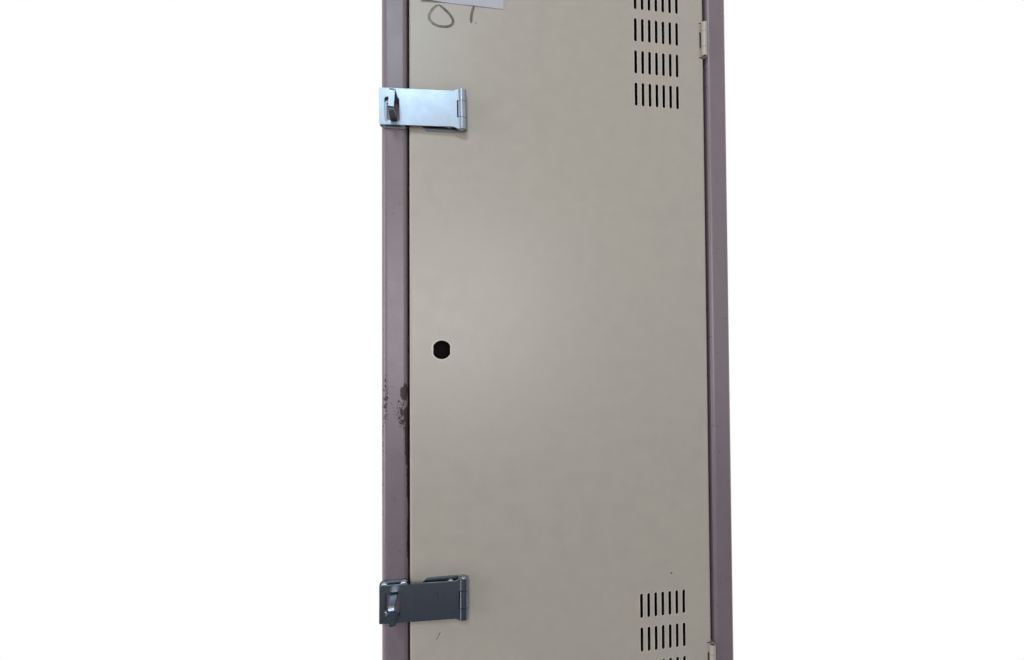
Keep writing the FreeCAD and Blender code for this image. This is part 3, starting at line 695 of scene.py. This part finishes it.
@dataclass(frozen=True)
class FeltPen:
    """Old brown felt-pen ink, streaky, and half wiped off towards the door's free edge."""

    name: str = "felt_pen_ink"
    colour: Colour = srgb(118, 106, 98)
    strong: Colour = srgb(96, 82, 76)
    roughness: float = 0.42

    def build(self) -> bpy.types.Material:
        """Builds the material."""
        shader = ShaderTree(self.name)
        streaks = shader.noise(260.0, 4.0, 0.65, (1.0, 1.0, 0.35))
        colour = shader.mix(shader.step(streaks, 0.4, 0.7), self.strong, self.colour)
        wiped = shader.step(shader.x, from_seam(48.0), from_seam(66.0), 0.45, 0.95)
        cover = shader.step(streaks, 0.25, 0.65, 0.70, 0.42) * wiped
        return shader.surface({"Base Color": colour, "Roughness": self.roughness, "Alpha": cover})


DOOR_PRIMER = srgb(70, 62, 55)
FINISHES: Tuple[Union[Enamel, PlatedSteel, CrinkleBlackAndShade, BufferRubber], ...] = (
    Enamel(Slot.FRAME_PAINT, srgb(111, 98, 107), srgb(110, 97, 103), srgb(44, 30, 28), 0.30, 0.55,
           chipped=True),
    Enamel(Slot.DOOR_PAINT, srgb(158, 151, 142), srgb(160, 153, 143), DOOR_PRIMER, 0.32, 0.55,
           marked=True),
    PlatedSteel(Slot.ZINC_PLATE, srgb(139, 148, 159), srgb(133, 141, 151), 0.29, 60.0,
                speck_limit=0.76, speck_depth=0.15, scratch_height=0.0000015, swing=0.012),
    PlatedSteel(Slot.RIVET_ZINC, srgb(188, 190, 194), srgb(160, 163, 168), 0.36, 400.0),
    PlatedSteel(Slot.PIN_STEEL, srgb(150, 150, 150), srgb(120, 119, 118), 0.34, 300.0),
    PlatedSteel(Slot.LOCK_STEEL, srgb(186, 182, 170), srgb(158, 154, 142), 0.32, 160.0),
    PlatedSteel(Slot.HOOK_STEEL, srgb(196, 196, 198), srgb(168, 168, 170), 0.24, 200.0,
                brushing=(0.2, 1.0, 1.0)),
    CrinkleBlackAndShade(),
    BufferRubber(),
)
# A lighter copy of the door enamel for the slot and hole lips: a painted highlight on their rounded
# edges.
LIP_HIGHLIGHT_ENAMEL = Enamel(Slot.DOOR_PAINT, srgb(190, 185, 176), srgb(196, 190, 181), DOOR_PRIMER, 0.26,
                    0.55, suffix="_lip_highlight_enamel")


# ---------------------------------------------------------------- pieces

@dataclass
class FrameDressing:
    """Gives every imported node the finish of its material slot."""

    materials: Dict[str, bpy.types.Material] = field(default_factory=dict)

    def build(self) -> None:
        """Builds the finishes and assigns them to the nodes' material slots."""
        for finish in FINISHES:
            self.materials[finish.slot.value] = finish.build()
        for name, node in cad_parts.items():
            for slot in node.material_slots:
                slot.material = self.materials[slot.material.name.split(".")[0]]
            LOG.info("dressed node %s", name)


@dataclass
class VentLips:
    """The rolled paint lips round the louvre slots punched through both doors."""

    first_x: float = from_seam(269.8)
    pitch: float = 0.00815
    columns: int = 7
    rows: int = 4
    row_pitch: float = 0.0356
    first_above: float = 0.2772
    first_below: float = 0.2756
    width: float = 0.0035
    length: float = 0.0258
    lip: float = 0.00030
    proud: float = 0.00018
    lip_sides: int = 6
    corner_steps: int = 3
    round_share: float = 2.01     # just over 2, so that the fillets at a slot's end don't meet

    def tree(self) -> GeometryTree:
        """Builds the tree that repeats one lip over two blocks of slots."""
        tree = GeometryTree("vent_lips", {
            "Columns": "NodeSocketInt",
            "Rows": "NodeSocketInt",
            "Column Pitch": "NodeSocketFloat",
            "Row Pitch": "NodeSocketFloat",
            "Block Offset": "NodeSocketFloat",
            "Slot Width": "NodeSocketFloat",
            "Slot Length": "NodeSocketFloat",
            "Lip Radius": "NodeSocketFloat",
            "Place": "NodeSocketVector",
            "Finish": "NodeSocketMaterial",
        })
        radius = tree.given("Lip Radius")
        width = tree.given("Slot Width") + radius * 2.0
        length = tree.given("Slot Length") + radius * 2.0
        outline = tree.node("GeometryNodeCurvePrimitiveQuadrilateral", values={
            "Width": width,
            "Height": length,
        })
        outline = tree.node("GeometryNodeFilletCurve", {"mode": "POLY"}, {
            "Curve": outline,
            "Count": self.corner_steps,
            "Radius": width / self.round_share,
        })
        section = tree.node("GeometryNodeCurvePrimitiveCircle", values={
            "Resolution": self.lip_sides,
            "Radius": radius,
        })
        lip = tree.node("GeometryNodeCurveToMesh", values={
            "Curve": outline,
            "Profile Curve": section,
        })
        lip = tree.node("GeometryNodeSetShadeSmooth", values={"Geometry": lip})
        columns, rows = tree.given("Columns"), tree.given("Rows")
        grid = tree.node("GeometryNodeMeshGrid", values={
            "Size X": (columns - 1.0) * tree.given("Column Pitch"),
            "Size Y": (rows - 1.0) * tree.given("Row Pitch"),
            "Vertices X": columns,
            "Vertices Y": rows,
        })
        block = tree.node("GeometryNodeInstanceOnPoints", values={"Points": grid, "Instance": lip})
        offset = tree.given("Block Offset")
        start = tree.node("ShaderNodeCombineXYZ", values={"Y": offset * -1.0})
        step = tree.node("ShaderNodeCombineXYZ", values={"Y": offset * 2.0})
        pair = tree.node("GeometryNodeMeshLine", values={
            "Count": 2,
            "Start Location": start,
            "Offset": step,
        })
        blocks = tree.node("GeometryNodeInstanceOnPoints", values={
            "Points": pair,
            "Instance": block,
        })
        stood = tree.node("GeometryNodeTransform", values={
            "Geometry": blocks,
            "Rotation": (math.pi / 2.0, 0.0, 0.0),
            "Translation": tree.given("Place"),
        })
        tree.close(stood)
        return tree

    def build(self, finish: bpy.types.Material) -> List[bpy.types.Object]:
        """Grows the lips of both doors.

        Args:
            finish: the enamel of the lips, a lighter copy of the door's that paints a highlight on
                them.

        Returns:
            One piece for each door.
        """
        tree = self.tree()
        reach = self.first_above + self.first_below + self.row_pitch * (self.rows - 1)
        pieces = []
        for body, centre_z in ((Body.UPPER_DOOR, UPPER_HOLE_Z), (Body.LOWER_DOOR, LOWER_HOLE_Z)):
            place = (
                self.first_x + self.pitch * (self.columns - 1) / 2.0,
                DOOR_FACE_Y + self.lip - self.proud,
                centre_z + (self.first_above - self.first_below) / 2.0,
            )
            piece = tree.grow(body.value + "_vent_lips", {
                "Columns": self.columns,
                "Rows": self.rows,
                "Column Pitch": self.pitch,
                "Row Pitch": self.row_pitch,
                "Block Offset": reach / 2.0,
                "Slot Width": self.width,
                "Slot Length": self.length,
                "Lip Radius": self.lip,
                "Place": place,
                "Finish": finish,
            })
            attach(piece, body.value)
            pieces.append(piece)
        return pieces


@dataclass
class DoorCard:
    """A blank card stuck high on the upper door, its lower left corner lifting."""

    left: float = 38.4
    right: float = 123.5
    bottom: float = 354.0
    height: float = 58.0
    thickness: float = 0.00022
    gap: float = 0.00025
    lift: float = 0.0022
    lift_reach: Tuple[float, float] = (2.6, 0.55)
    wave: float = 0.00018
    wave_turns: Tuple[float, float] = (11.0, 0.6)
    wave_fall: float = 9.0
    columns: int = 34
    rows: int = 24

    def build(self, finish: bpy.types.Material) -> bpy.types.Object:
        """Builds the card.

        Args:
            finish: its material.

        Returns:
            The card, riding on the upper door.
        """
        shell = bmesh.new()
        steepness, flatness = self.lift_reach
        rate, start = self.wave_turns
        grid = []
        for row in range(self.rows + 1):
            line = []
            for column in range(self.columns + 1):
                across, upward = column / self.columns, row / self.rows
                corner = max(0.0, 1.0 - steepness * math.hypot(across, flatness * upward))
                edge = max(0.0, 1.0 - self.wave_fall * upward)
                wave = self.wave * edge * (1.0 + math.sin(rate * across + start))
                y = DOOR_FACE_Y - self.gap - self.lift * corner ** 2 - wave
                x = from_seam(self.left + (self.right - self.left) * across)
                z = UPPER_HOLE_Z + (self.bottom + self.height * upward) * MM
                line.append(shell.verts.new((x, y, z)))
            grid.append(line)
        for low, high in zip(grid, grid[1:]):
            for k in range(self.columns):
                shell.faces.new((low[k], low[k + 1], high[k + 1], high[k]))
        thicken_forward(shell, self.thickness)
        card = place_shell(shell, "door_card", finish)
        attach(card, Body.UPPER_DOOR.value)
        return card


@dataclass
class PenStrokes:
    """Two faded strokes of felt pen that show below the card, in millimetres from the seam
    and from the upper lock hole."""

    width: float = 2.7
    gap: float = 0.00010
    thickness: float = 0.00005
    samples: int = 56
    tip: Tuple[float, float] = (56.2, 351.6)
    drop: Tuple[float, float, float] = (11.3, 15.6, 4.2)
    tail_top: Tuple[float, float] = (92.6, 354.0)
    tail_run: Tuple[float, float, float] = (-3.0, -18.2, 0.9)
    tail_steps: int = 16
    tip_width: float = 0.55
    tip_growth: float = 4.0

    def loop(self) -> List[Tuple[float, float]]:
        """Points of the drop-shaped loop, whose tip is under the card."""
        half_length, half_width, lean = self.drop
        points = []
        for k in range(2, self.samples - 1):
            turn = 2.0 * math.pi * k / self.samples
            down = half_length * (1.0 - math.cos(turn))
            side = half_width * math.sin(turn) * math.sin(turn / 2.0)
            drift = lean * down / (2.0 * half_length)
            points.append((self.tip[0] + side + drift, self.tip[1] - down))
        return points

    def tail(self) -> List[Tuple[float, float]]:
        """Points of the short, slightly bowed stroke."""
        across, down, bow = self.tail_run
        points = []
        for k in range(self.tail_steps + 1):
            share = k / self.tail_steps
            drift = across * share - bow * math.sin(math.pi * share)
            points.append((self.tail_top[0] + drift, self.tail_top[1] + down * share))
        return points

    def ribbon(self, shell: bmesh.types.BMesh, points: Sequence[Tuple[float, float]]) -> None:
        """Adds a flat stroke along points to the shell.

        Args:
            shell: the mesh that takes the stroke.
            points: the stroke's middle line.
        """
        pairs = []
        last = len(points) - 1
        for k, (x, z) in enumerate(points):
            before, after = points[max(k - 1, 0)], points[min(k + 1, last)]
            along = Vector((after[0] - before[0], 0.0, after[1] - before[1])).normalized()
            side = Vector((-along.z, 0.0, along.x))
            taper = min(1.0, self.tip_width + self.tip_growth * min(k, last - k) / last)
            centre = Vector((from_seam(x), DOOR_FACE_Y - self.gap, UPPER_HOLE_Z + z * MM))
            half = side * (self.width * MM / 2.0 * taper)
            pairs.append((shell.verts.new(centre - half), shell.verts.new(centre + half)))
        for first, second in zip(pairs, pairs[1:]):
            shell.faces.new((first[0], first[1], second[1], second[0]))

    def build(self, finish: bpy.types.Material) -> bpy.types.Object:
        """Builds both strokes.

        Args:
            finish: the ink.

        Returns:
            The strokes, riding on the upper door.
        """
        shell = bmesh.new()
        self.ribbon(shell, self.loop())
        self.ribbon(shell, self.tail())
        thicken_forward(shell, self.thickness)
        strokes = place_shell(shell, "pen_strokes", finish)
        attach(strokes, Body.UPPER_DOOR.value)
        return strokes


@dataclass
class LockHoleLip:
    """The raised lip of thick enamel round a door's double-D lock hole."""

    x: float = from_seam(58.8)
    radius: float = 0.0094
    half_flats: float = 0.0084
    tube: float = 0.0009
    proud: float = 0.00035
    arc_steps: int = 14
    flat_shares: Tuple[float, ...] = (0.9, 0.3, -0.3, -0.9)
    sides: int = 12

    def outline(self) -> List[Tuple[Vector, Vector]]:
        """Points of the hole's edge with the outward direction at each, round the hole."""
        corner = math.acos(self.half_flats / self.radius)
        stations = []
        sweep = math.pi - 2.0 * corner
        for start, towards in ((corner, 1.0), (math.pi + corner, -1.0)):
            for k in range(self.arc_steps + 1):
                turn = start + sweep * k / self.arc_steps
                outward = Vector((math.cos(turn), 0.0, math.sin(turn)))
                stations.append((outward * self.radius, outward))
            flat = Vector((-towards, 0.0, 0.0))
            height = self.radius * math.sin(corner) * towards
            for share in self.flat_shares:
                point = flat * self.half_flats + Vector((0.0, 0.0, height * share))
                stations.append((point, flat))
        return stations

    def build(self, body: Body, hole_z: float, finish: bpy.types.Material) -> bpy.types.Object:
        """Builds one lip.

        Args:
            body: the door that carries it.
            hole_z: the height of the lock hole's middle.
            finish: the enamel of the lip, a lighter copy of the door's that paints a highlight on it.

        Returns:
            The lip, riding on that door.
        """
        shell = bmesh.new()
        rings = []
        centre = Vector((self.x, DOOR_FACE_Y + self.tube - self.proud, hole_z))
        for point, outward in self.outline():
            ring = []
            for k in range(self.sides):
                turn = 2.0 * math.pi * k / self.sides
                reach = outward * (self.tube * (1.0 + math.cos(turn)))
                depth = Vector((0.0, self.tube * math.sin(turn), 0.0))
                ring.append(shell.verts.new(centre + point + reach + depth))
            rings.append(ring)
        for first, second in zip(rings, rings[1:] + rings[:1]):
            for k in range(self.sides):
                follow = (k + 1) % self.sides
                face = shell.faces.new((first[k], first[follow], second[follow], second[k]))
                face.smooth = True
        bmesh.ops.recalc_face_normals(shell, faces=shell.faces[:])
        lip = place_shell(shell, body.value + "_lock_hole_lip", finish)
        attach(lip, body.value)
        return lip


# ---------------------------------------------------------------- studio

@dataclass
class SoftLight:
    """A rectangular soft light aimed at a point."""

    name: str
    place: Triple
    target: Triple
    size: Tuple[float, float]
    watts: float
    colour: Triple = (1.0, 1.0, 1.0)
    mirrored: bool = True

    def build(self) -> bpy.types.Object:
        """Builds the light."""
        data = bpy.data.lights.new(self.name, "AREA")
        data.shape = "RECTANGLE"
        data.size, data.size_y = self.size
        data.energy = self.watts
        data.color = self.colour
        light = bpy.data.objects.new(self.name, data)
        light.visible_glossy = self.mirrored
        aim = Vector(self.target) - Vector(self.place)
        turn = aim.to_track_quat("-Z", "Y").to_matrix().to_4x4()
        light.matrix_world = Matrix.Translation(self.place) @ turn
        bpy.context.scene.collection.objects.link(light)
        return light


@dataclass
class Studio:
    """Pale floor, white surroundings, soft lights and one dark flag that only reflections see."""

    floor_half: float = 9.0
    fade: Triple = (0.4, 1.7, 0.4)     # where the floor's fade starts and ends, and its least glow
    flag_half: float = 4.5
    flag_ends: Tuple[float, float] = (-7.0, -0.7)
    flag_height: float = 0.02
    ambient: float = 0.22
    ambient_colour: Colour = (0.97, 0.98, 1.0, 1.0)
    lights: Tuple[SoftLight, ...] = (
        SoftLight("window_light", (-0.20, -2.9, 1.55), (-0.15, -0.2, 1.40), (1.7, 1.0), 21.0,
                  (0.98, 0.99, 1.0)),
        SoftLight("sky_light", (-0.48, -2.4, 3.05), (-0.15, -0.2, 1.70), (0.7, 0.5), 12.0,
                  (0.66, 0.86, 1.0)),
        SoftLight("key_light", (-0.91, -2.66, 3.5), (-0.05, -0.2, 1.30), (0.55, 0.55), 27.0,
                  (1.0, 0.985, 0.965), mirrored=False),
        SoftLight("left_light", (-2.5, -0.85, 1.35), (0.0, -0.1, 1.15), (0.9, 2.2), 30.0,
                  (0.99, 0.99, 1.0)),
        SoftLight("right_light", (2.7, 0.6, 1.9), (0.1, 0.0, 1.0), (1.5, 1.8), 42.0,
                  mirrored=False),
        SoftLight("back_light", (-0.7, 3.0, 2.1), (0.0, 0.2, 1.0), (1.8, 1.8), 48.0,
                  mirrored=False),
    )

    def floor(self) -> bpy.types.Object:
        """Builds the floor, which fades to white away from the locker."""
        half = self.floor_half
        floor = place_sheet("studio_floor", half, -half, half)
        shader = ShaderTree("pale_floor")
        cloud = shader.noise(2.4, 4.0, 0.55)
        colour = shader.mix(cloud, srgb(226, 226, 225), srgb(234, 233, 231))
        board = shader.node("ShaderNodeBsdfPrincipled", values={
            "Base Color": colour,
            "Roughness": shader.step(cloud, 0.3, 0.7, 0.55, 0.68),
            "Normal": shader.bump(shader.noise(90.0, 3.0, 0.5), 0.0002),
        })
        glow = shader.node("ShaderNodeEmission", values={"Color": WHITE, "Strength": 1.0})
        reach = (shader.x * shader.x + shader.y * shader.y).root()
        share = shader.step(reach, *self.fade) * self.seen(shader)
        mixed = shader.node("ShaderNodeMixShader", values={0: share, 1: board, 2: glow})
        shader.node("ShaderNodeOutputMaterial", values={"Surface": mixed})
        floor.data.materials.append(shader.material)
        return floor

    @staticmethod
    def seen(tree: NodeTree) -> Signal:
        """1 for rays that show the surroundings: camera, glossy and transmission rays."""
        camera = tree.node("ShaderNodeLightPath", output="Is Camera Ray")
        mirror, glass = camera.other("Is Glossy Ray"), camera.other("Is Transmission Ray")
        return camera.larger(mirror).larger(glass)

    def world(self) -> None:
        """Builds the surroundings: white to the eye, plain soft light on the locker."""
        world = bpy.data.worlds.new("studio_world")
        world.use_nodes = True
        world.node_tree.nodes.clear()
        tree = NodeTree(world.node_tree)
        ambient = tree.node("ShaderNodeBackground", values={
            "Color": self.ambient_colour,
            "Strength": self.ambient,
        })
        white = tree.node("ShaderNodeBackground", values={"Color": WHITE, "Strength": 1.0})
        mixed = tree.node("ShaderNodeMixShader", values={0: self.seen(tree), 1: ambient, 2: white})
        tree.node("ShaderNodeOutputWorld", values={"Surface": mixed})
        bpy.context.scene.world = world

    def flag(self) -> bpy.types.Object:
        """Builds the dark flag on the floor in front, which only reflections see."""
        flag = place_sheet("studio_flag", self.flag_half, *self.flag_ends, self.flag_height)
        shader = ShaderTree("flag_cloth")
        flag.data.materials.append(shader.surface({
            "Base Color": shader.mix(shader.noise(300.0), srgb(22, 32, 46), srgb(28, 38, 52)),
            "Roughness": 0.9,
        }))
        flag.visible_camera = False
        flag.visible_diffuse = False
        flag.visible_shadow = False
        return flag

    def build(self) -> None:
        """Builds the floor, the world, the flag and the lights."""
        self.floor()
        self.world()
        self.flag()
        for light in self.lights:
            light.build()
            LOG.info("light %s", light.name)
        bpy.context.scene.view_settings.view_transform = "Standard"


@dataclass
class CameraRig:
    """The camera, close in front of the upper door."""

    place: Triple = (-0.1506, -0.72325, 1.3868)
    lens: float = 17.578
    sensor: float = 36.0
    yaw: float = 0.1799
    pitch: float = 0.0203
    roll: float = -0.0057
    near: float = 0.01

    def build(self) -> bpy.types.Object:
        """Builds the camera and makes it the scene's own."""
        forward = Vector((math.sin(self.yaw), math.cos(self.yaw), 0.0))
        right = Vector((math.cos(self.yaw), -math.sin(self.yaw), 0.0))
        up = Vector((0.0, 0.0, 1.0))
        ahead = forward * math.cos(self.pitch) + up * math.sin(self.pitch)
        above = up * math.cos(self.pitch) - forward * math.sin(self.pitch)
        across = right * math.cos(self.roll) + above * math.sin(self.roll)
        upright = above * math.cos(self.roll) - right * math.sin(self.roll)
        turn = Matrix((across, upright, -ahead)).transposed().to_4x4()
        data = bpy.data.cameras.new("camera")
        data.lens = self.lens
        data.sensor_width = self.sensor
        data.clip_start = self.near
        camera = bpy.data.objects.new("camera", data)
        camera.matrix_world = Matrix.Translation(self.place) @ turn
        bpy.context.scene.collection.objects.link(camera)
        bpy.context.scene.camera = camera
        return camera


def main() -> None:
    """Builds the camera, the studio, the finishes and the extra pieces in order."""
    logging.basicConfig(level=logging.INFO, format="%(name)s: %(message)s")
    CameraRig().build()
    Studio().build()
    FrameDressing().build()
    # the lips' lighter enamel is a painted highlight on their rounded edges
    lip_highlight_enamel = LIP_HIGHLIGHT_ENAMEL.build()
    pieces = VentLips().build(lip_highlight_enamel)
    for body, hole_z in ((Body.UPPER_DOOR, UPPER_HOLE_Z), (Body.LOWER_DOOR, LOWER_HOLE_Z)):
        pieces.append(LockHoleLip().build(body, hole_z, lip_highlight_enamel))
    pieces.append(DoorCard().build(CardStock().build()))
    pieces.append(PenStrokes().build(FeltPen().build()))
    for piece in pieces:
        LOG.info("piece %s: %d faces", piece.name, len(piece.data.polygons))


if __name__ == "__main__":
    main()
